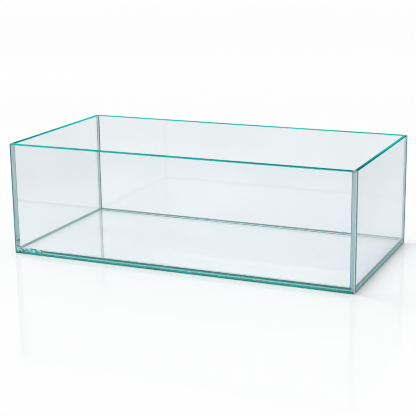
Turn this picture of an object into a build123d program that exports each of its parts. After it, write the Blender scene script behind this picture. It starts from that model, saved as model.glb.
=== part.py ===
# A rimless, open-topped glass aquarium: five panes with polished edges, bonded with silicone.
# Millimetres, +Z up, +X along the length and the front towards -Y.
# The origin is the centre of the footprint, on the plane that the walls stand on.
from build123d import *
import os

os.makedirs("parts", exist_ok=True)

# Outside size of the tank
tank_length = 600.0
tank_depth = 300.0
tank_height = 190.0

# Glass: the walls, the base pane between them, and the small bevel ground along every edge
wall_glass = 6.0
base_glass = 6.0
edge_arris = 1.0
base_lift = 1.5  # underside of the base pane above the standing plane

# Silicone: the film that bonds an edge to a face, and the tooled bead along each inner corner
bond_gap = 0.8
film_recess = 1.2  # how far the film stops short of the faces outside the joint
bead_leg = 2.5
bead_hollow = 0.45  # how deep the tooling stick presses the bead's face in

# Sizes that follow from the ones above
inner_length = tank_length - 2 * wall_glass
inner_depth = tank_depth - 2 * wall_glass
bonded_length = inner_length - 2 * bond_gap
bonded_depth = inner_depth - 2 * bond_gap
base_top = base_lift + base_glass


# The front and back panes run the full length and cover the ends of the side panes.
with BuildPart() as front_pane:
    with BuildSketch(Plane.XZ.offset(tank_depth / 2)):
        with Locations((0, tank_height / 2)):
            Rectangle(tank_length, tank_height)
    extrude(amount=-wall_glass)
    chamfer(front_pane.edges(), edge_arris)

with BuildPart() as back_pane:
    mirror(front_pane.part, about=Plane.XZ)

# The side panes stand between the front and back panes, a film of silicone away from each.
with BuildPart() as right_pane:
    with BuildSketch(Plane.YZ.offset(tank_length / 2)):
        with Locations((0, tank_height / 2)):
            Rectangle(bonded_depth, tank_height)
    extrude(amount=-wall_glass)
    chamfer(right_pane.edges(), edge_arris)

with BuildPart() as left_pane:
    mirror(right_pane.part, about=Plane.YZ)

# The base pane lies inside the four walls, raised a little so that the walls carry the tank.
with BuildPart() as base_pane:
    with BuildSketch(Plane.XY.offset(base_lift)):
        Rectangle(bonded_length, bonded_depth)
    extrude(amount=base_glass)
    chamfer(base_pane.edges(), edge_arris)


# Both sections below have the inner corner of the joint as their origin. X leads away from the
# pane whose face is bonded, and Y leads away from the pane whose edge is bonded.
def film_section(joint, glass):
    """The film on the edge of a pane, with the silicone that fills the pane's inner arris."""
    film_end = film_recess - glass
    with BuildSketch(joint) as section:
        with BuildLine():
            Polyline(
                (0, film_end),
                (0, 0),
                (bond_gap + edge_arris, 0),
                (bond_gap, -edge_arris),
                (bond_gap, film_end),
                close=True,
            )
        make_face()
    return section.sketch


def bead_section(joint):
    """The bead in the inner corner, with the hollow face that a round tool leaves."""
    with BuildSketch(joint) as section:
        with BuildLine():
            climb = Line((0, bead_leg), (0, 0))
            foot = Line(climb @ 1, (bond_gap + bead_leg, 0))
            SagittaArc(foot @ 1, climb @ 0, bead_hollow)
        make_face()
    return section.sketch


# The base seals run along the foot of each wall.
front_joint = Plane(origin=(-inner_length / 2, -inner_depth / 2, base_top), x_dir=(0, 1, 0), z_dir=(1, 0, 0))
right_joint = Plane(origin=(inner_length / 2, -inner_depth / 2, base_top), x_dir=(-1, 0, 0), z_dir=(0, 1, 0))

with BuildPart() as front_base_seal:
    extrude(film_section(front_joint, base_glass), amount=inner_length)
    extrude(bead_section(front_joint), amount=inner_length)

with BuildPart() as back_base_seal:
    mirror(front_base_seal.part, about=Plane.XZ)

# The side ones are coped over the ends of the long ones.
with BuildPart() as right_base_seal:
    extrude(film_section(right_joint, base_glass), amount=inner_depth)
    extrude(bead_section(right_joint), amount=inner_depth)
    add(front_base_seal.part, mode=Mode.SUBTRACT)
    add(back_base_seal.part, mode=Mode.SUBTRACT)

with BuildPart() as left_base_seal:
    mirror(right_base_seal.part, about=Plane.YZ)

# A corner seal's film runs the height of the walls. Its bead stands on the base pane and is
# fitted over the base seals that meet in the corner.
corner_foot = Plane(origin=(inner_length / 2, -inner_depth / 2, 0), x_dir=(0, 1, 0), z_dir=(0, 0, 1))
film_height = tank_height - 2 * film_recess
bead_height = tank_height - film_recess - base_top

with BuildPart() as front_right_corner_seal:
    extrude(film_section(corner_foot.offset(film_recess), wall_glass), amount=film_height)
    extrude(bead_section(corner_foot.offset(base_top)), amount=bead_height)
    add(front_base_seal.part, mode=Mode.SUBTRACT)
    add(right_base_seal.part, mode=Mode.SUBTRACT)

with BuildPart() as front_left_corner_seal:
    mirror(front_right_corner_seal.part, about=Plane.YZ)

with BuildPart() as back_right_corner_seal:
    mirror(front_right_corner_seal.part, about=Plane.XZ)

with BuildPart() as back_left_corner_seal:
    mirror(front_left_corner_seal.part, about=Plane.XZ)


front_pane.part.label = "front_pane"
back_pane.part.label = "back_pane"
left_pane.part.label = "left_pane"
right_pane.part.label = "right_pane"
base_pane.part.label = "base_pane"
front_base_seal.part.label = "front_base_seal"
back_base_seal.part.label = "back_base_seal"
left_base_seal.part.label = "left_base_seal"
right_base_seal.part.label = "right_base_seal"
front_left_corner_seal.part.label = "front_left_corner_seal"
front_right_corner_seal.part.label = "front_right_corner_seal"
back_left_corner_seal.part.label = "back_left_corner_seal"
back_right_corner_seal.part.label = "back_right_corner_seal"

export_step(front_pane.part, "parts/front_pane.step")
export_step(back_pane.part, "parts/back_pane.step")
export_step(left_pane.part, "parts/left_pane.step")
export_step(right_pane.part, "parts/right_pane.step")
export_step(base_pane.part, "parts/base_pane.step")
export_step(front_base_seal.part, "parts/front_base_seal.step")
export_step(back_base_seal.part, "parts/back_base_seal.step")
export_step(left_base_seal.part, "parts/left_base_seal.step")
export_step(right_base_seal.part, "parts/right_base_seal.step")
export_step(front_left_corner_seal.part, "parts/front_left_corner_seal.step")
export_step(front_right_corner_seal.part, "parts/front_right_corner_seal.step")
export_step(back_left_corner_seal.part, "parts/back_left_corner_seal.step")
export_step(back_right_corner_seal.part, "parts/back_right_corner_seal.step")
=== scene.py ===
import math

import bmesh
import bpy
from mathutils import Matrix, Vector, noise


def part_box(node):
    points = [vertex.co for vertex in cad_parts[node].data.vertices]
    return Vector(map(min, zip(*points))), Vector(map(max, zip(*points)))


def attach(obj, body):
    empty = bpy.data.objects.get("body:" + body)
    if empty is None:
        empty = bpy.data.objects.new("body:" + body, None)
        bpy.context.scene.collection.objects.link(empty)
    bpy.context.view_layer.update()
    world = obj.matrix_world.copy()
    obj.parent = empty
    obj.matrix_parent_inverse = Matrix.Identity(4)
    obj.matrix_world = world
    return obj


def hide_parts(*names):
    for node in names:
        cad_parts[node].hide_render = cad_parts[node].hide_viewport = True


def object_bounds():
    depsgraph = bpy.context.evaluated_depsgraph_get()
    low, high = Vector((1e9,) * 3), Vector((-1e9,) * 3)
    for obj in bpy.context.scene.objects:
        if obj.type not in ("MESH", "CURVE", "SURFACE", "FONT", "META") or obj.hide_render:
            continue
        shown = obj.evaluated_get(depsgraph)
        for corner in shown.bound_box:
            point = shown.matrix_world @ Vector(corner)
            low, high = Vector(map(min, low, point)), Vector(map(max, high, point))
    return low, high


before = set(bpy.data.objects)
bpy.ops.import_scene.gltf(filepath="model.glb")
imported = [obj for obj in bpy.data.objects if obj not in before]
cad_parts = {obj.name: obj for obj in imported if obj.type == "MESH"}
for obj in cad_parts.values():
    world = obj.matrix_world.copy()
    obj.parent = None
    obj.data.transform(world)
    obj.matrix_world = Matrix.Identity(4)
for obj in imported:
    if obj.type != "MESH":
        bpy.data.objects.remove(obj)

cad_low, cad_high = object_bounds()
scene = bpy.context.scene

# Sizes read from the frame. All sizes and places here are in metres.
base_low, base_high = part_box("base_pane")
front_low, front_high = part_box("front_pane")
wall = front_high.y - front_low.y
base_glass = base_high.z - base_low.z
base_top = base_high.z
tank_height = cad_high.z
inner_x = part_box("right_pane")[0].x
inner_y = -front_high.y
gap = inner_x - base_high.x

# Sizes that the frame's boxes don't give, as in the part's source
ARRIS = 0.0010
FILM_RECESS = 0.0012
BEAD_LEG = 0.0025
BEAD_HOLLOW = 0.00045

# The camera, from a fit to the photograph's corners, with its angles in degrees
VIEW_TARGET = Vector((-0.0113, 0.0137, 0.0662))
VIEW_AZIMUTH = 23.86
VIEW_ELEVATION = 14.50
VIEW_ROLL = -0.75
VIEW_DISTANCE = 1.974
LENS_MM = 99.19
SENSOR_MM = 36.0

# Optics: the colour that the glass lets through, and how strongly it absorbs the rest
GLASS_IOR = 1.52
COAT_IOR = 1.6
SILICONE_IOR = 1.41
GLASS_COLOUR = (0.0, 0.80, 0.78, 1)
WALL_ABSORPTION = 5.0
BASE_ABSORPTION = 3.0


# Shader helpers
EVEN = (1, 1, 1)
SOFT_STEP = (0.35, 0.65)
NOISE_SPAN = (0.3, 0.7)  # a noise node gives mostly values between these
MIX_FACTOR, MIX_FIRST, MIX_SECOND, MIX_RESULT = 0, 6, 7, 2  # a Mix node's sockets for colours


def new_material(name):
    material = bpy.data.materials.new(name)
    material.use_nodes = True
    material.node_tree.nodes.clear()
    return material, material.node_tree.nodes, material.node_tree.links


def fed_node(nodes, links, kind, *values):
    """A new node of a kind, with values linked to its first sockets."""
    node = nodes.new(kind)
    for value, socket in zip(values, node.inputs):
        links.new(value, socket)
    return node


def calculated(nodes, links, operation, *values):
    node = fed_node(nodes, links, "ShaderNodeMath", *values)
    node.operation = operation
    return node.outputs[0]


def noise_node(nodes, links, scale, detail, stretch=EVEN):
    """Noise by the place on the object. A large stretch gives fine detail along that axis."""
    place = nodes.new("ShaderNodeTexCoord")
    mapping = nodes.new("ShaderNodeMapping")
    mapping.inputs["Scale"].default_value = stretch
    texture = nodes.new("ShaderNodeTexNoise")
    texture.inputs["Scale"].default_value = scale
    texture.inputs["Detail"].default_value = detail
    links.new(place.outputs["Object"], mapping.inputs["Vector"])
    links.new(mapping.outputs["Vector"], texture.inputs["Vector"])
    return texture.outputs["Fac"]


def colour_between(nodes, links, fac, low, high, at=SOFT_STEP):
    ramp = nodes.new("ShaderNodeValToRGB")
    for element, place, colour in zip(ramp.color_ramp.elements, at, (low, high)):
        element.position = place
        element.color = (*colour, 1)
    links.new(fac, ramp.inputs["Fac"])
    return ramp.outputs["Color"]


def number_between(nodes, links, fac, low, high, at=NOISE_SPAN):
    span = nodes.new("ShaderNodeMapRange")
    span.inputs["From Min"].default_value = at[0]
    span.inputs["From Max"].default_value = at[1]
    span.inputs["To Min"].default_value = low
    span.inputs["To Max"].default_value = high
    links.new(fac, span.inputs["Value"])
    return span.outputs["Result"]


def bump(nodes, links, height, distance, strength=1.0):
    node = nodes.new("ShaderNodeBump")
    node.inputs["Strength"].default_value = strength
    node.inputs["Distance"].default_value = distance
    links.new(height, node.inputs["Height"])
    return node.outputs["Normal"]


def run_along(nodes, links, axis, start, end, mirrored=False):
    """0 up to start and 1 past end, along one axis of the object, or away from its middle if mirrored."""
    place = nodes.new("ShaderNodeTexCoord")
    axes = nodes.new("ShaderNodeSeparateXYZ")
    links.new(place.outputs["Object"], axes.inputs[0])
    distance = axes.outputs[axis]
    if mirrored:
        distance = calculated(nodes, links, "ABSOLUTE", distance)
    return number_between(nodes, links, distance, 0, 1, (start, end))


def colour_mix(nodes, links, first, second):
    mix = nodes.new("ShaderNodeMix")
    mix.data_type = "RGBA"
    links.new(first, mix.inputs[MIX_FIRST])
    links.new(second, mix.inputs[MIX_SECOND])
    return mix


def blend(nodes, links, fac, first, second):
    mix = colour_mix(nodes, links, first, second)
    links.new(fac, mix.inputs[MIX_FACTOR])
    return mix.outputs[MIX_RESULT]


def multiply(nodes, links, first, second):
    mix = colour_mix(nodes, links, first, second)
    mix.blend_type = "MULTIPLY"
    mix.inputs[MIX_FACTOR].default_value = 1.0
    return mix.outputs[MIX_RESULT]


def light_helper(nodes, links, shader, passed):
    """Lets lamps and scattered light through, so that what stands behind the glass is lit."""
    path = nodes.new("ShaderNodeLightPath")
    clear = nodes.new("ShaderNodeBsdfTransparent")
    if callable(passed):
        links.new(passed(nodes, links), clear.inputs["Color"])
    else:
        clear.inputs["Color"].default_value = (*passed, 1)
    shadow, diffuse = path.outputs["Is Shadow Ray"], path.outputs["Is Diffuse Ray"]
    lighting = calculated(nodes, links, "MAXIMUM", shadow, diffuse)
    mix = fed_node(nodes, links, "ShaderNodeMixShader", lighting, shader.outputs[0], clear.outputs[0])
    return mix.outputs[0]


# Paints. A paint is called with nodes and links, makes the nodes of a colour and returns its socket.
# A span, where a paint runs over into another, is an axis with the places where that starts and ends.
LEFT_TO_RIGHT = ("X", -0.1, 0.1)


def mottled(dark, light, scale=7.0):
    """Soft patches between two colours."""
    def paint(nodes, links):
        return colour_between(nodes, links, noise_node(nodes, links, scale, detail=2.0), dark, light)
    return paint


def shaded(span, first, second, mirrored=False):
    """One paint that runs over into another."""
    def paint(nodes, links):
        fac = run_along(nodes, links, *span, mirrored)
        return blend(nodes, links, fac, first(nodes, links), second(nodes, links))
    return paint


def banded(axis, stops, streaks, stretch=EVEN, mirrored=False):
    """Colours in bands across an axis, as stops of place and colour, broken up by streaks."""
    first, last = stops[0][0], stops[-1][0]
    dark, light, scale, step = streaks

    def paint(nodes, links):
        ramp = nodes.new("ShaderNodeValToRGB")
        links.new(run_along(nodes, links, axis, first, last, mirrored), ramp.inputs["Fac"])
        elements = ramp.color_ramp.elements
        while len(elements) < len(stops):
            elements.new(0.5)
        for element, (place, colour) in zip(elements, stops):
            element.position = (place - first) / (last - first)
            element.color = (*colour, 1)
        fine = noise_node(nodes, links, scale, detail=3.0, stretch=stretch)
        streaked = colour_between(nodes, links, fine, dark, light, step)
        return multiply(nodes, links, ramp.outputs["Color"], streaked)
    return paint


# How much of the lamp's and the scattered light goes through. The feet at the right end, and the right
# pane's inner face low down, hold back the most, for the tank's shadow on the floor.
FACE_PASS = (0.998, 0.998, 0.998)
EDGE_PASS = (0.85, 0.87, 0.87)
CORNER_PASS = (0.45, 0.47, 0.47)
FRONT_ONLY = ("Y", -0.10, -0.05)
PAST_LEFT_END = ("X", -0.24, -0.12)
TO_RIGHT_END = ("X", 0.22, 0.28)
UP_FROM_FOOT = ("Z", 0.012, 0.026)
RIGHT_PANE = ("X", 0.10, 0.12)
WALL_DEPTH = ("X", inner_x + 0.002, inner_x + 0.003)

full_pass = mottled((0.995, 0.995, 0.995), (1.0, 1.0, 1.0))
bright_pass = mottled((0.955, 0.965, 0.965), (0.985, 0.99, 0.99))
front_pass = shaded(FRONT_ONLY, mottled((0.72, 0.74, 0.74), (0.78, 0.80, 0.80)), bright_pass)
right_end_pass = mottled((0.32, 0.34, 0.34), (0.38, 0.40, 0.40))
foot_pass = shaded(TO_RIGHT_END, shaded(PAST_LEFT_END, bright_pass, front_pass), right_end_pass)
low_pass = shaded(UP_FROM_FOOT, mottled((0.34, 0.35, 0.35), (0.38, 0.39, 0.39)), full_pass)
side_pass = shaded(RIGHT_PANE, full_pass, shaded(WALL_DEPTH, low_pass, full_pass))


# Glass
# A finish: the least and the largest roughness, the scale of the grain that varies it, the grain's depth
FACE_FINISH = ((0.0, 0.03), 11.0, 0.0)
FINE_EDGE_FINISH = ((0.02, 0.12), 160.0, 0.00001)
EDGE_FINISH = ((0.05, 0.18), 160.0, 0.00001)
BONDED_FINISH = ((0.1, 0.3), 160.0, 0.00001)
FOOT_FINISH = ((0.15, 0.35), 220.0, 0.00002)
ARRIS_FINISH = ((0.2, 0.4), 500.0, 0.00002)


def glass_material(name, paint, clear, finish, passed, density=WALL_ABSORPTION, coat=0.0):
    """Float glass. Its cut edges aren't fully clear, and have no mirror image."""
    gloss, grain, depth = finish
    material, nodes, links = new_material(name)
    out = nodes.new("ShaderNodeOutputMaterial")
    body = nodes.new("ShaderNodeBsdfPrincipled")
    body.inputs["IOR"].default_value = GLASS_IOR
    body.inputs["Transmission Weight"].default_value = clear
    body.inputs["Coat Weight"].default_value = coat
    body.inputs["Coat Roughness"].default_value = 0.0
    body.inputs["Coat IOR"].default_value = COAT_IOR
    if clear < 1.0:
        body.inputs["Specular IOR Level"].default_value = 0.0
    links.new(paint(nodes, links), body.inputs["Base Color"])
    fine = noise_node(nodes, links, grain, detail=4.0)
    links.new(number_between(nodes, links, fine, *gloss), body.inputs["Roughness"])
    if depth:
        links.new(bump(nodes, links, fine, depth), body.inputs["Normal"])
    volume = nodes.new("ShaderNodeVolumeAbsorption")
    volume.inputs["Color"].default_value = GLASS_COLOUR
    volume.inputs["Density"].default_value = density
    links.new(light_helper(nodes, links, body, passed), out.inputs["Surface"])
    links.new(volume.outputs["Volume"], out.inputs["Volume"])
    return material


FOOT_GLOW, FOOT_GLOW_BLUR = 0.0036, 0.0004  # how far up a pane the painted glow of its ground foot reaches
RIM_GLOW_BLUR = 0.0002


def with_painted_glow(paint, green, rim_glow):
    """A painted glow: a pane's face is painted with the green light that the ground edges next to it carry
    into the glass, at the foot and rim_glow down from the rim.
    """
    edge = tank_height - ARRIS - rim_glow
    low = shaded(("Z", FOOT_GLOW - FOOT_GLOW_BLUR, FOOT_GLOW + FOOT_GLOW_BLUR), green, paint)
    return shaded(("Z", edge - RIM_GLOW_BLUR, edge + RIM_GLOW_BLUR), low, green)


CAP_START, CAP_END = 0.0016, 0.0002  # where the cap sets in and is full, short of the walls' inner faces
cap_grey = mottled((0.27, 0.31, 0.32), (0.36, 0.41, 0.42), 90.0)


def capped(paint_below):
    """Grey where the front and back panes lie on the side panes' bonded edges."""
    def paint(nodes, links):
        at_side = run_along(nodes, links, "X", inner_x - CAP_START, inner_x - CAP_END, mirrored=True)
        at_front = run_along(nodes, links, "Y", inner_y - CAP_START, inner_y - CAP_END, mirrored=True)
        corner = calculated(nodes, links, "MULTIPLY", at_side, at_front)
        return blend(nodes, links, corner, paint_below(nodes, links), cap_grey(nodes, links))
    return paint


def wall_set(name, face, rim, outer_rim, foot, upright, upright_arris, passed=FACE_PASS):
    """A wall's materials, in the order of its slots below."""
    return [
        glass_material(name + "_face", face, 1.0, FACE_FINISH, passed),
        glass_material(name + "_rim", capped(rim), 0.04, EDGE_FINISH, EDGE_PASS),
        foot,
        upright,
        glass_material(name + "_rim_arris", capped(rim), 0.04, ARRIS_FINISH, EDGE_PASS),
        glass_material(name + "_outer_arris", capped(outer_rim), 0.04, ARRIS_FINISH, EDGE_PASS),
        upright_arris,
    ]


# What the front and back panes share
# Painted glow: the green light that the glass carries in from its ground foot and its rim
painted_glow_green = mottled((0.0, 0.40, 0.36), (0.02, 0.50, 0.46), 60.0)
# The rims' green is the glass's own edge colour, painted brighter for the light that the glass carries to
# them
bright_rim = mottled((0.0, 0.46, 0.38), (0.02, 0.62, 0.52))
long_foot = glass_material(
    "ground_foot", mottled((0.0, 0.26, 0.23), (0.0, 0.52, 0.45)), 0.20, FOOT_FINISH, foot_pass)
long_end = glass_material(
    "polished_end", mottled((0.04, 0.27, 0.275), (0.09, 0.36, 0.365)), 0.08, EDGE_FINISH, EDGE_PASS)

# Front pane: painted light and shade over the glass's own tint, clearer low down at its right and its left
# end, darker near the rim
PAINTED_LIGHT_TOP = ("Z", 0.030, 0.036)
PAINTED_LIGHT_START = ("X", -0.10, 0.02)
NEAR_RIM = ("Z", 0.15, 0.185)
LEFT_END_UPPER = ("Z", 0.10, 0.14)
AWAY_FROM_LEFT_END = ("X", -0.21, -0.10)
ALONG_FRONT = ("X", -0.25, 0.24)
FRONT_RIM_GLOW = 0.0013

# The glass's own tint, with painted shade that darkens it near the rim
front_tint_and_shade = shaded(
    NEAR_RIM, mottled((0.950, 0.955, 0.967), (0.972, 0.975, 0.984)),
    mottled((0.920, 0.930, 0.945), (0.945, 0.952, 0.962)))
# Painted reflection at the left end: darker up high, with painted light low down
front_left_end_light_and_shade = shaded(
    LEFT_END_UPPER, mottled((0.985, 0.970, 0.982), (1.0, 0.988, 0.998)),
    mottled((0.922, 0.912, 0.928), (0.948, 0.936, 0.952)))
# Painted light: clearer low down at the right, for the lit strip on the base behind it
front_low_painted_light = shaded(PAINTED_LIGHT_START, front_tint_and_shade, mottled((0.992, 0.982, 0.992), (1.0, 0.992, 1.0)))
front_body_light_and_shade = shaded(PAINTED_LIGHT_TOP, front_low_painted_light, front_tint_and_shade)
front_face = with_painted_glow(
    shaded(AWAY_FROM_LEFT_END, front_left_end_light_and_shade, front_body_light_and_shade), painted_glow_green, FRONT_RIM_GLOW)
# Painted reflection along the front rim: bright at the left, dark at the right
front_rim_light_and_shade = shaded(ALONG_FRONT, bright_rim, mottled((0.0, 0.19, 0.165), (0.0, 0.30, 0.26)))
# Painted light and shade on the upright arrises: dark teal at the left end, light at the right
front_arris_light_and_shade = glass_material(
    "side_arris",
    shaded(
        LEFT_TO_RIGHT, mottled((0.03, 0.38, 0.38), (0.10, 0.50, 0.50), 60.0),
        mottled((0.72, 0.82, 0.84), (0.86, 0.93, 0.95), 60.0)),
    0.20, ARRIS_FINISH, EDGE_PASS)
front_materials = wall_set("front", front_face, front_rim_light_and_shade, front_rim_light_and_shade, long_foot, long_end, front_arris_light_and_shade)

# Back pane: painted shade over the glass's own tint, darker towards the rim and, low down, to the right
BACK_UPWARDS = ("Z", 0.075, 0.15)
BACK_TO_RIGHT = ("X", -0.08, 0.12)
BACK_RIM_GLOW = 0.0005

back_low_shade = shaded(
    BACK_TO_RIGHT, mottled((0.920, 0.926, 0.945), (0.948, 0.950, 0.967)),
    mottled((0.888, 0.888, 0.920), (0.912, 0.912, 0.942)))
back_tint_and_shade = shaded(BACK_UPWARDS, back_low_shade, mottled((0.850, 0.872, 0.895), (0.880, 0.898, 0.918)))
back_face = with_painted_glow(back_tint_and_shade, painted_glow_green, BACK_RIM_GLOW)
back_arris = glass_material(
    "back_side_arris", mottled((0.18, 0.32, 0.33), (0.28, 0.42, 0.43), 60.0), 0.10, ARRIS_FINISH, EDGE_PASS)
back_materials = wall_set("back", back_face, bright_rim, bright_rim, long_foot, long_end, back_arris)

# Side panes: painted shade over the glass's own tint, darker towards the rim, most of all the right one,
# with rims painted bright at the back
SIDE_UPWARDS = ("Z", 0.06, 0.18)
ABOVE_DARK_FOOT = ("Z", 0.0014, 0.0018)
ALONG_SIDE_RIM = ("Y", -0.15, 0.02)
ALONG_OUTER_RIM = ("Y", -0.15, 0.10)
SIDE_RIM_GLOW = 0.0010

left_tint_and_shade = shaded(
    SIDE_UPWARDS, mottled((0.860, 0.876, 0.896), (0.890, 0.903, 0.921)),
    mottled((0.838, 0.850, 0.872), (0.870, 0.880, 0.900)))
right_tint_and_shade = shaded(
    SIDE_UPWARDS, mottled((0.842, 0.860, 0.886), (0.872, 0.887, 0.911)),
    mottled((0.775, 0.795, 0.828), (0.808, 0.826, 0.856)))
# Painted glow on the side panes, dark below 1.4 mm for painted contact shade where they stand
side_painted_glow_and_shade = shaded(
    ABOVE_DARK_FOOT, mottled((0.0, 0.16, 0.16), (0.01, 0.26, 0.25), 60.0),
    mottled((0.0, 0.66, 0.64), (0.02, 0.78, 0.76), 60.0))
side_face = with_painted_glow(shaded(LEFT_TO_RIGHT, left_tint_and_shade, right_tint_and_shade), side_painted_glow_and_shade, SIDE_RIM_GLOW)
# Painted reflection along the side rims: dark in front, bright towards the back
side_rim_light_and_shade = shaded(
    ALONG_SIDE_RIM, mottled((0.0, 0.13, 0.10), (0.0, 0.20, 0.17)),
    mottled((0.0, 0.46, 0.43), (0.0, 0.62, 0.58)))
outer_side_rim_light_and_shade = shaded(
    ALONG_OUTER_RIM, mottled((0.0, 0.10, 0.08), (0.0, 0.16, 0.14)),
    mottled((0.0, 0.20, 0.17), (0.01, 0.28, 0.24)))
# The side panes' ground foot: the glass's own green, painted darker for the shade where it stands
side_foot_and_contact_shade = glass_material(
    "side_foot_and_contact_shade", mottled((0.005, 0.05, 0.05), (0.02, 0.11, 0.105)), 0.10, FOOT_FINISH, foot_pass)
bonded_end = glass_material(
    "bonded_end", mottled((0.46, 0.56, 0.58), (0.60, 0.68, 0.70), 40.0), 0.35, BONDED_FINISH, EDGE_PASS)
side_materials = wall_set(
    "side", side_face, side_rim_light_and_shade, outer_side_rim_light_and_shade, side_foot_and_contact_shade, bonded_end, bonded_end, side_pass)

# Base pane: painted light and shade over the glass's own tint, a brighter strip in front, a darker one past
# the middle, and darker at right than at left
BASE_TO_RIGHT = ("X", -0.14, 0.18)
TINT_STREAK = ((0.990, 0.990, 0.990), (1.0, 1.0, 1.0), 7.0, SOFT_STEP)

base_left_light_and_shade = banded("Y", (
    (-0.150, (0.998, 0.984, 1.0)), (-0.050, (0.985, 0.970, 0.996)), (-0.015, (0.962, 0.945, 0.980)),
    (0.010, (0.940, 0.924, 0.966)), (0.035, (0.944, 0.930, 0.964)), (0.070, (0.966, 0.952, 0.978)),
    (0.150, (0.966, 0.952, 0.978))), TINT_STREAK)
base_right_light_and_shade = banded("Y", (
    (-0.150, (1.0, 0.993, 1.0)), (-0.068, (1.0, 0.993, 1.0)), (-0.058, (0.944, 0.934, 0.968)),
    (-0.020, (0.930, 0.922, 0.956)), (0.010, (0.920, 0.908, 0.942)), (0.035, (0.930, 0.918, 0.950)),
    (0.150, (0.944, 0.932, 0.962))), TINT_STREAK)
base_light_and_shade = shaded(BASE_TO_RIGHT, base_left_light_and_shade, base_right_light_and_shade)
base_edge_paint = mottled((0.70, 0.80, 0.80), (0.85, 0.92, 0.92))
base_arris_paint = mottled((0.0, 0.20, 0.17), (0.0, 0.34, 0.30))
base_materials = [
    glass_material("base_face", base_light_and_shade, 1.0, FACE_FINISH, FACE_PASS, BASE_ABSORPTION, coat=1.0),
    glass_material("base_edge", base_edge_paint, 0.60, FINE_EDGE_FINISH, foot_pass, BASE_ABSORPTION),
    glass_material("base_arris", base_arris_paint, 0.10, ARRIS_FINISH, foot_pass, BASE_ABSORPTION),
]


# Which material each face of a pane gets
WALL_FACE, RIM, FOOT, END, RIM_ARRIS, OUTER_RIM_ARRIS, UPRIGHT_ARRIS = range(7)
BASE_FACE, BASE_EDGE, BASE_ARRIS = range(3)
# The least part of a normal that lies along an axis where its face is square to that axis, or tilted
SQUARE, TILTED = 0.99, 0.1


def wall_slot(thin):
    """thin is the number of the axis through the pane's thickness."""
    def slot(at, normal, size):
        if size[thin] > SQUARE:
            return WALL_FACE
        if normal.z > SQUARE:
            return RIM
        if normal.z < -SQUARE:
            return FOOT
        if max(size) > SQUARE:
            return END
        if normal.z > TILTED:
            return OUTER_RIM_ARRIS if normal[thin] * at[thin] > 0 else RIM_ARRIS
        return FOOT if normal.z < -TILTED else UPRIGHT_ARRIS
    return slot


def base_slot(at, normal, size):
    if size[2] > SQUARE:
        return BASE_FACE
    return BASE_EDGE if max(size) > SQUARE or normal.z > TILTED else BASE_ARRIS


def dress(node, materials, slot_of):
    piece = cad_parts[node]
    piece.data.materials.clear()
    for material in materials:
        piece.data.materials.append(material)
    for polygon in piece.data.polygons:
        size = [abs(value) for value in polygon.normal]
        polygon.material_index = slot_of(polygon.center, polygon.normal, size)


dress("front_pane", front_materials, wall_slot(1))
dress("back_pane", back_materials, wall_slot(1))
for side in ("left", "right"):
    dress(side + "_pane", side_materials, wall_slot(0))
dress("base_pane", base_materials, base_slot)


# Silicone materials
DRAG_MARKS, DRAG_DEPTH = 300.0, 0.00004
MILKINESS = 240.0


def silicone_skin(name, paint, passed):
    """The free surface of the sealant, with the drag marks of the tooling stick."""
    material, nodes, links = new_material(name)
    out = nodes.new("ShaderNodeOutputMaterial")
    skin = nodes.new("ShaderNodeBsdfPrincipled")
    skin.inputs["IOR"].default_value = SILICONE_IOR
    skin.inputs["Transmission Weight"].default_value = 0.15
    links.new(paint(nodes, links), skin.inputs["Base Color"])
    drag = noise_node(nodes, links, DRAG_MARKS, detail=3.0)
    links.new(number_between(nodes, links, drag, 0.06, 0.26), skin.inputs["Roughness"])
    links.new(bump(nodes, links, drag, DRAG_DEPTH, strength=0.7), skin.inputs["Normal"])
    links.new(light_helper(nodes, links, skin, passed), out.inputs["Surface"])
    return material


def silicone_joint(name, paint, alpha, passed):
    """The sealant where it wets the glass: its milky body shows, and nothing reflects."""
    material, nodes, links = new_material(name)
    out = nodes.new("ShaderNodeOutputMaterial")
    body = nodes.new("ShaderNodeBsdfPrincipled")
    body.inputs["Specular IOR Level"].default_value = 0.0
    body.inputs["Alpha"].default_value = alpha
    links.new(paint(nodes, links), body.inputs["Base Color"])
    milk = noise_node(nodes, links, MILKINESS, detail=3.0)
    links.new(number_between(nodes, links, milk, 0.45, 0.75), body.inputs["Roughness"])
    links.new(light_helper(nodes, links, body, passed), out.inputs["Surface"])
    return material


# Streaks, and fragments where the light that is caught in the glass breaks up: the darker and the
# lighter factor, the noise's scale, and where in the noise the one turns into the other
STREAK = ((0.88, 0.91, 0.91), (1.0, 1.0, 1.0), 50.0, SOFT_STEP)
BROKEN = ((0.13, 0.26, 0.27), (0.94, 0.96, 0.96), 175.0, (0.45, 0.52))
ALONG_BASE, ACROSS_BASE = (1, 1, 6), (1, 1, 1.7)
ALONG_CORNER, ACROSS_CORNER = (6, 6, 0.6), (1, 1, 2)


def above_stand(*stops):
    """Heights in millimetres above the standing plane, each with a colour."""
    return [(height / 1000, colour) for height, colour in stops]


# From the film's lower edge to the top of the bead: painted light that the glass edges gather, with a
# painted white line of light where the bead shows on the long seals
AQUA = (0.40, 0.88, 0.86)
DEEP_TEAL = (0.0, 0.23, 0.22)
PAINTED_LIGHT_LINE = (0.92, 0.97, 0.97)
DARK_BLUE = (0.01, 0.16, 0.20)
long_bands = above_stand(
    (2.7, (0.14, 0.52, 0.49)), (3.2, AQUA), (4.4, AQUA), (4.7, (0.13, 0.54, 0.51)),
    (5.3, (0.11, 0.50, 0.47)), (5.6, DEEP_TEAL), (8.1, DEEP_TEAL), (8.4, PAINTED_LIGHT_LINE), (10.0, PAINTED_LIGHT_LINE))
long_end_bands = above_stand(
    (2.7, (0.10, 0.80, 0.76)), (4.0, (0.36, 0.98, 0.96)), (6.0, (0.42, 1.0, 0.98)),
    (7.6, (0.22, 0.84, 0.82)), (8.1, (0.60, 0.86, 0.86)), (10.0, (0.80, 0.92, 0.92)))
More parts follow.
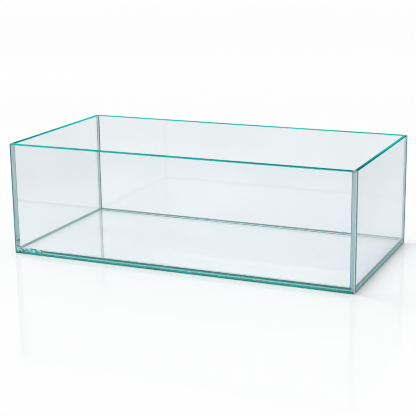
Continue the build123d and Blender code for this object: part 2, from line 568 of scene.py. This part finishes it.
side_bands = above_stand(
    (2.7, (0.02, 0.84, 0.84)), (3.2, (0.06, 0.84, 0.84)), (3.6, (0.18, 0.58, 0.60)),
    (4.8, (0.18, 0.54, 0.56)), (6.0, (0.14, 0.44, 0.48)), (7.4, (0.07, 0.38, 0.44)),
    (7.8, DARK_BLUE), (10.0, DARK_BLUE))

# Up the tooled face of the bead: a painted dark reflection, on the long seals above a painted highlight
BEAD_HIGHLIGHT = (0.92, 0.96, 0.96)
SLATE_REFLECTION = (0.15, 0.30, 0.32)
SIDE_SLATE_REFLECTION = (0.30, 0.47, 0.49)
bead_bands = above_stand(
    (7.5, BEAD_HIGHLIGHT), (7.8, BEAD_HIGHLIGHT), (8.0, SLATE_REFLECTION), (9.9, SLATE_REFLECTION), (10.0, (0.40, 0.52, 0.54)))
side_bead_bands = above_stand(
    (7.5, (0.26, 0.42, 0.44)), (8.6, SIDE_SLATE_REFLECTION), (9.9, SIDE_SLATE_REFLECTION), (10.0, (0.46, 0.58, 0.60)))


def base_set(name, bead, joint):
    """Skin, joint against the wall and joint against the base pane."""
    foot = mottled((0.84, 0.90, 0.91), (0.92, 0.96, 0.97), 60.0)
    return (
        silicone_skin(name + "_silicone", banded("Z", bead, STREAK, ALONG_BASE), foot_pass),
        silicone_joint(name + "_silicone_joint", joint, 0.95, foot_pass),
        silicone_joint(name + "_silicone_foot", foot, 0.92, foot_pass),
    )


# Near the left end in front, the bands break up into fragments
PAST_FRAGMENTS = ("X", 0.042 - inner_x, 0.052 - inner_x)
long_joint = banded("Z", long_bands, STREAK, ALONG_BASE)
broken_end = banded("Z", long_end_bands, BROKEN, ACROSS_BASE)
back_silicone = base_set("back_base", bead_bands, long_joint)
front_silicone = base_set("front_base", bead_bands, shaded(PAST_FRAGMENTS, broken_end, long_joint))
side_silicone = base_set("side_base", side_bead_bands, banded("Z", side_bands, STREAK, ALONG_BASE))

# Across a corner joint, as it shows through the front or back pane: places from the bead's edge outwards
STRIP_PLACES = [inner_x + step for step in (-BEAD_LEG, -0.0018, -0.0012, 0.0005, 0.0035)]
LOW_STRIP = (
    (0.20, 0.44, 0.47), (0.22, 0.48, 0.51), (0.38, 0.70, 0.74), (0.42, 0.71, 0.75), (0.42, 0.61, 0.64))
HIGH_STRIP = (
    (0.22, 0.33, 0.35), (0.24, 0.37, 0.39), (0.62, 0.72, 0.74), (0.62, 0.72, 0.74), (0.66, 0.76, 0.78))
ABOVE_FRAGMENTS = ("Z", 0.028, 0.034)
UP_THE_CORNER = ("Z", 0.0, 0.12)
ABOVE_CORNER_FOOT = ("Z", 0.0095, 0.0110)
IN_FROM_BEAD_EDGE = ("X", inner_x - 0.0015, inner_x - 0.0009)


def strip(colours, streaks, stretch):
    return banded("X", list(zip(STRIP_PLACES, colours)), streaks, stretch, mirrored=True)


low_joint = strip(LOW_STRIP, STREAK, ALONG_CORNER)
left_low_joint = shaded(ABOVE_FRAGMENTS, strip(LOW_STRIP, BROKEN, ACROSS_CORNER), low_joint)
high_joint = strip(HIGH_STRIP, STREAK, ALONG_CORNER)
corner_strips = shaded(UP_THE_CORNER, shaded(LEFT_TO_RIGHT, left_low_joint, low_joint), high_joint)
corner_foot = mottled((0.38, 0.47, 0.49), (0.74, 0.81, 0.83), 200.0)
# Painted shade: a dark line along the bead's edge where it meets the glass
bead_edge_shade = mottled((0.13, 0.15, 0.16), (0.20, 0.23, 0.24), 60.0)
bead_body = mottled((0.70, 0.77, 0.78), (0.82, 0.87, 0.88), 60.0)
side_joint = mottled((0.54, 0.64, 0.66), (0.66, 0.74, 0.76), 60.0)
corner_bead = shaded(IN_FROM_BEAD_EDGE, bead_edge_shade, bead_body, mirrored=True)
corner_joint = shaded(ABOVE_CORNER_FOOT, corner_foot, corner_strips)
corner_silicone = (
    silicone_skin("corner_silicone", corner_bead, CORNER_PASS),
    silicone_joint("corner_silicone_joint", corner_joint, 0.92, CORNER_PASS),
    silicone_joint("corner_silicone_foot", side_joint, 0.60, CORNER_PASS),
)


# Silicone pieces
CONTACT = 0.00002  # how far the silicone is let into the glass, so that no air is left between them
SECTION_SPACING = 0.003
HOLLOW_STEPS = 9
WELD_DISTANCE = 1e-7
SHARP_ANGLE = math.radians(30)
SEED_STEP, OFF_GRID = 7.31, 0.37  # noise is zero at whole numbers, so places in it stay off them
FOOT_SPREAD, SPREAD_FADE = 0.7, 0.0022  # how much wider a corner bead gets, and over what height

# How a seal's edges wander. A wave is a step of the seed, a size, and how fast it changes per metre.
RECESS_WAVES = ((0, 0.0002, 60), (5, 0.0001, 260))
LEG_WAVES = ((0, 0.08, 35), (1, 0.03, 190))
HOLLOW_WAVES = ((0, 0.25, 50),)

# Where a side of a seal lies, which is also its material: free, on the pane whose face is bonded, or on
# the pane whose edge is
SKIN, FACE_JOINT, EDGE_JOINT = range(3)


def wander(seed, along, scale):
    """A smooth, repeatable value from about -1 to 1 for a place along a seal."""
    return noise.noise(Vector((along * scale, seed * SEED_STEP, OFF_GRID)))


def uneven(value, seed, along, waves):
    for step, size, scale in waves:
        value += size * wander(seed + step, along, scale)
    return value


def seal_section(along, seed, glass, with_bead, flare):
    """Points of the section, and where each side that follows one lies. u leads away from the pane
    whose face is bonded, and v from the other."""
    film_end = -glass + uneven(FILM_RECESS, seed, along, RECESS_WAVES)
    near, far, floor = -CONTACT, gap + CONTACT, -CONTACT
    film = [(near, film_end), (far, film_end), (far, -ARRIS)]
    if not with_bead:
        return film + [(far, floor), (near, floor)], [SKIN] + [EDGE_JOINT] * 3 + [FACE_JOINT]
    foot = BEAD_LEG * flare * uneven(1, seed + 1, along, LEG_WAVES)
    climb = BEAD_LEG * flare * uneven(1, seed + 3, along, LEG_WAVES)
    hollow = BEAD_HOLLOW * uneven(1, seed + 6, along, HOLLOW_WAVES)
    start = Vector((gap + foot, floor))
    end = Vector((near, climb))
    chord = end - start
    inward = Vector((-chord.y, chord.x)).normalized()
    arc = []
    for step in range(1, HOLLOW_STEPS):
        t = step / HOLLOW_STEPS
        arc.append(tuple(start + chord * t + inward * (4 * hollow * t * (1 - t))))
    points = film + [(gap + ARRIS, floor), tuple(start)] + arc + [tuple(end), (near, floor)]
    return points, [SKIN] + [EDGE_JOINT] * 3 + [SKIN] * HOLLOW_STEPS + [FACE_JOINT] * 2


def loft(vertices, faces, slots, sections, sides):
    """Joins sections that all have the same sides, and returns the first and last rings of vertices."""
    rings = []
    for points in sections:
        rings.append(tuple(range(len(vertices), len(vertices) + len(points))))
        vertices.extend(points)
    for low, high in zip(rings, rings[1:]):
        for i, side in enumerate(sides):
            j = (i + 1) % len(sides)
            faces.append((low[i], low[j], high[j], high[i]))
            slots.append(side)
    return rings[0], rings[-1]


def seal_shell(seed, glass, runs, flare, end_slot, place):
    """The seal's vertices, faces and slots. runs: (start, end, with_bead), one on top of the other."""
    vertices, faces, slots, ends = [], [], [], []
    for start, end, with_bead in runs:
        steps = max(2, int((end - start) / SECTION_SPACING))
        sections = []
        for step in range(steps + 1):
            along = start + (end - start) * step / steps
            points, sides = seal_section(along, seed, glass, with_bead, flare(along))
            sections.append([place(along, u, v) for u, v in points])
        ends.append(loft(vertices, faces, slots, sections, sides))
    faces.extend((ends[0][0][::-1], ends[-1][1]))
    slots.extend((end_slot, end_slot))
    for (_, film_top), (bead_foot, _) in zip(ends, ends[1:]):
        # The foot of the bead, beside the film that it stands on
        faces.append(bead_foot[2:] + (film_top[3],))
        slots.append(EDGE_JOINT)
    return vertices, faces, slots


def close_up(mesh):
    """Joins the points that two runs share, and turns all faces outwards."""
    work = bmesh.new()
    work.from_mesh(mesh)
    bmesh.ops.remove_doubles(work, verts=work.verts, dist=WELD_DISTANCE)
    bmesh.ops.recalc_face_normals(work, faces=work.faces)
    work.to_mesh(mesh)
    work.free()
    mesh.set_sharp_from_angle(angle=SHARP_ANGLE)


def seal_piece(label, glass, runs, flare, end_slot, place, materials):
    """A modelled silicone piece in place of the CAD seal with the same label."""
    node = label + "_seal"
    seed = sum(ord(letter) for letter in node) % 97
    vertices, faces, slots = seal_shell(seed, glass, runs, flare, end_slot, place)
    mesh = bpy.data.meshes.new(label + "_silicone")
    mesh.from_pydata(vertices, [], faces)
    for polygon, slot in zip(mesh.polygons, slots):
        polygon.material_index = slot
        polygon.use_smooth = True
    close_up(mesh)
    for material in materials:
        mesh.materials.append(material)
    piece = bpy.data.objects.new(label + "_silicone", mesh)
    scene.collection.objects.link(piece)
    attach(piece, "root")
    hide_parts(node)


def steady(along):
    return 1.0


def spread_at_foot(along):
    """The corner bead widens where it runs into the two base beads."""
    return 1.0 + FOOT_SPREAD * math.exp(-(along - base_top) / SPREAD_FADE)


long_reach = inner_x + CONTACT
for name, side, materials in (("front", -1, front_silicone), ("back", 1, back_silicone)):
    seal_piece(
        name + "_base", base_glass, [(-long_reach, long_reach, True)], steady, FACE_JOINT,
        lambda along, u, v, side=side: (along, side * (inner_y - u), base_top + v),
        materials,
    )

side_reach = inner_y - gap + CONTACT
for name, side in (("left", -1), ("right", 1)):
    seal_piece(
        name + "_base", base_glass, [(-side_reach, side_reach, True)], steady, EDGE_JOINT,
        lambda along, u, v, side=side: (side * (inner_x - u), along, base_top + v),
        side_silicone,
    )

bead_low = base_top - CONTACT
corner_runs = [(FILM_RECESS, bead_low, False), (bead_low, tank_height - FILM_RECESS, True)]
for front, side_y in (("front", -1), ("back", 1)):
    for left, side_x in (("left", -1), ("right", 1)):
        seal_piece(
            front + "_" + left + "_corner", wall, corner_runs, spread_at_foot, SKIN,
            lambda along, u, v, sx=side_x, sy=side_y: (sx * (inner_x - v), sy * (inner_y - u), along),
            corner_silicone,
        )


# Studio
SKY_SEEN = 0.985
SKY_LIGHT = 0.82
FLOOR_WHITE = (0.955, 0.955, 0.955, 1)
FLOOR_HALF = 20.0
FLOOR_DROP = 0.0002  # keeps the floor clear of the panes' feet
LAMP_TOWARDS = (0.92, -0.08, -0.70)
LAMP_WIDTH = math.radians(40.0)
LAMP_STRENGTH = 1.14
GLASS_BOUNCES = 48
MIRROR_BOUNCES = 16


def floor_material():
    material, nodes, links = new_material("floor")
    out = nodes.new("ShaderNodeOutputMaterial")
    card = nodes.new("ShaderNodeBsdfPrincipled")
    card.inputs["Base Color"].default_value = FLOOR_WHITE
    card.inputs["Roughness"].default_value = 0.08
    card.inputs["Specular IOR Level"].default_value = 0.10
    links.new(card.outputs["BSDF"], out.inputs["Surface"])
    return material


def make_floor():
    corners = [(-1, -1), (1, -1), (1, 1), (-1, 1)]
    mesh = bpy.data.meshes.new("floor")
    mesh.from_pydata([(FLOOR_HALF * x, FLOOR_HALF * y, 0) for x, y in corners], [], [(0, 1, 2, 3)])
    mesh.materials.append(floor_material())
    floor = bpy.data.objects.new("floor", mesh)
    floor.location.z = -FLOOR_DROP
    scene.collection.objects.link(floor)


def make_world():
    """White where it is seen, also by reflection or through glass, and a plain level as a light."""
    world = bpy.data.worlds.new("studio")
    scene.world = world
    world.use_nodes = True
    nodes, links = world.node_tree.nodes, world.node_tree.links
    nodes.clear()
    out = nodes.new("ShaderNodeOutputWorld")
    path = nodes.new("ShaderNodeLightPath")
    seen = path.outputs["Is Camera Ray"]
    for kind in ("Is Glossy Ray", "Is Transmission Ray"):
        seen = calculated(nodes, links, "MAXIMUM", seen, path.outputs[kind])
    skies = []
    for strength in (SKY_LIGHT, SKY_SEEN):
        sky = nodes.new("ShaderNodeBackground")
        sky.inputs["Color"].default_value = (1.0, 1.0, 1.0, 1)
        sky.inputs["Strength"].default_value = strength
        skies.append(sky.outputs[0])
    mix = fed_node(nodes, links, "ShaderNodeMixShader", seen, *skies)
    links.new(mix.outputs[0], out.inputs["Surface"])


def make_lamp():
    data = bpy.data.lights.new("key", "SUN")
    data.energy = LAMP_STRENGTH
    data.angle = LAMP_WIDTH
    lamp = bpy.data.objects.new("key", data)
    lamp.rotation_mode = "QUATERNION"
    lamp.rotation_quaternion = Vector(LAMP_TOWARDS).to_track_quat("-Z", "Y")
    scene.collection.objects.link(lamp)


def set_camera():
    azimuth, elevation, roll = map(math.radians, (VIEW_AZIMUTH, VIEW_ELEVATION, VIEW_ROLL))
    level = math.cos(elevation)
    back = Vector((math.sin(azimuth) * level, -math.cos(azimuth) * level, math.sin(elevation)))
    right = Vector((math.cos(azimuth), math.sin(azimuth), 0))
    up = back.cross(right)
    rolled_right = math.cos(roll) * right + math.sin(roll) * up
    rolled_up = math.cos(roll) * up - math.sin(roll) * right
    data = bpy.data.cameras.new("camera")
    data.lens = LENS_MM
    data.sensor_width = SENSOR_MM
    camera = bpy.data.objects.new("camera", data)
    turn = Matrix((rolled_right, rolled_up, back)).transposed().to_4x4()
    camera.matrix_world = Matrix.Translation(VIEW_TARGET + VIEW_DISTANCE * back) @ turn
    scene.collection.objects.link(camera)
    scene.camera = camera


make_floor()
make_world()
make_lamp()
set_camera()
scene.view_settings.view_transform = "Standard"
scene.cycles.filter_width = 1.0
scene.cycles.max_bounces = GLASS_BOUNCES
scene.cycles.transmission_bounces = GLASS_BOUNCES
scene.cycles.glossy_bounces = MIRROR_BOUNCES
scene.cycles.transparent_max_bounces = GLASS_BOUNCES
